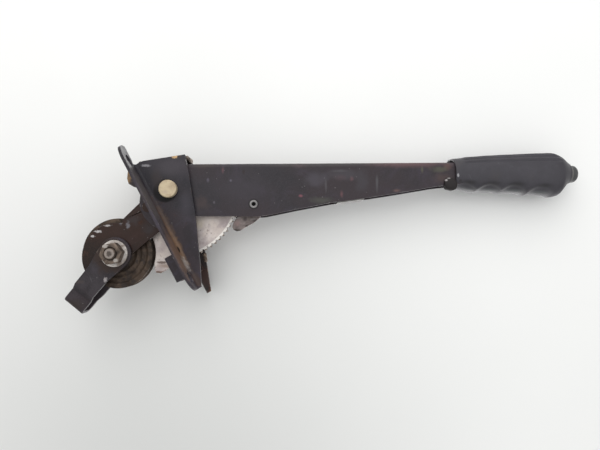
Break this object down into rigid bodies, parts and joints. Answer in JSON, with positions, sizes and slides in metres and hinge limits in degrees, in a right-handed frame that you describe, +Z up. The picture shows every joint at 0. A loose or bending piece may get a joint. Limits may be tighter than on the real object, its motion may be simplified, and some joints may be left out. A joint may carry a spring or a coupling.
{
  "type": "parking brake lever",
  "caption": "Hand-operated vehicle parking-brake lever on a floor bracket, with toothed sector, pawl, push-button release and cable pulley.",
  "frame": {"origin": "centre of the four mounting holes, on the underside of the bracket's flanges", "axes": "+Z up from the vehicle floor, +X towards the bracket's front end, where the lever leans, +Y across along the pivot pin"},
  "size_m": [0.2153, 0.072, 0.4577],
  "materials": {
    "bracket_paint": "semi-gloss black paint with rusty edges",
    "lever_paint": "semi-gloss black paint, worn",
    "arm_paint": "black paint gone brown with rust",
    "guard_paint": "dull blue-black paint",
    "pulley_steel": "dull oily steel",
    "worn_zinc": "worn zinc plating",
    "bright_zinc": "dull zinc plating",
    "guide_zinc": "dull zinc plating",
    "yellow_zinc": "yellow passivated zinc",
    "spring_steel": "oiled spring steel",
    "grip_plastic": "ribbed moulded plastic",
    "button_plastic": "smooth moulded plastic"
  },
  "bodies": {
    "bracket": {"bracket_left_plate": "bracket_paint", "bracket_right_plate": "bracket_paint", "bracket_rear_bridge": "bracket_paint", "sector_support_left": "bracket_paint", "sector_support_right": "bracket_paint", "ratchet_sector": "worn_zinc", "pivot_pin": "yellow_zinc", "pivot_washer": "bright_zinc", "pivot_circlip": "spring_steel"},
    "lever": {"lever_channel": "lever_paint", "pivot_spacers": "bright_zinc", "arm_plate_left": "arm_paint", "arm_plate_right": "arm_paint", "arm_rivets": "arm_paint", "cable_guard": "guard_paint", "pulley_bolt": "bright_zinc", "pulley_nut": "bright_zinc", "pulley_washers": "bright_zinc", "pulley_bush": "bright_zinc", "pawl_rivet": "bright_zinc", "pawl_spacers": "bright_zinc", "rod_spring": "spring_steel", "spring_seat": "lever_paint", "rod_guide": "guide_zinc", "grip": "grip_plastic"},
    "pawl": {"pawl": "worn_zinc", "pawl_link_pin": "bright_zinc"},
    "button": {"push_button": "button_plastic", "release_rod": "bright_zinc", "rod_collar": "bright_zinc"},
    "pulley": {"cable_pulley": "pulley_steel"}
  },
  "joints": [
    {"name": "lever_pivot", "type": "hinge", "parent": "bracket", "child": "lever", "pos_m": [-0.0205, 0, 0.019], "axis": [0, -1, 0], "range_deg": [-38, 0]},
    {"name": "button_slide", "type": "slide", "parent": "lever", "child": "button", "axis": [-0.4695, 0, -0.8829], "range_m": [0, 0.006], "stiffness_N_per_m": 1000, "springref_m": -0.008, "deforming": ["rod_spring"]},
    {"name": "pawl_pivot", "type": "hinge", "parent": "lever", "child": "pawl", "pos_m": [0.02472, 0, 0.07763], "axis": [0, -1, 0], "range_deg": [0, 12.8]},
    {"name": "pulley_spin", "type": "hinge", "parent": "lever", "child": "pulley", "pos_m": [0.00668, 0, -0.04789], "axis": [0, 1, 0], "continuous": true}
  ],
  "couplings": [
    {"joint": "pawl_pivot", "follows": "button_slide", "rad_per_m": 37}
  ]
}
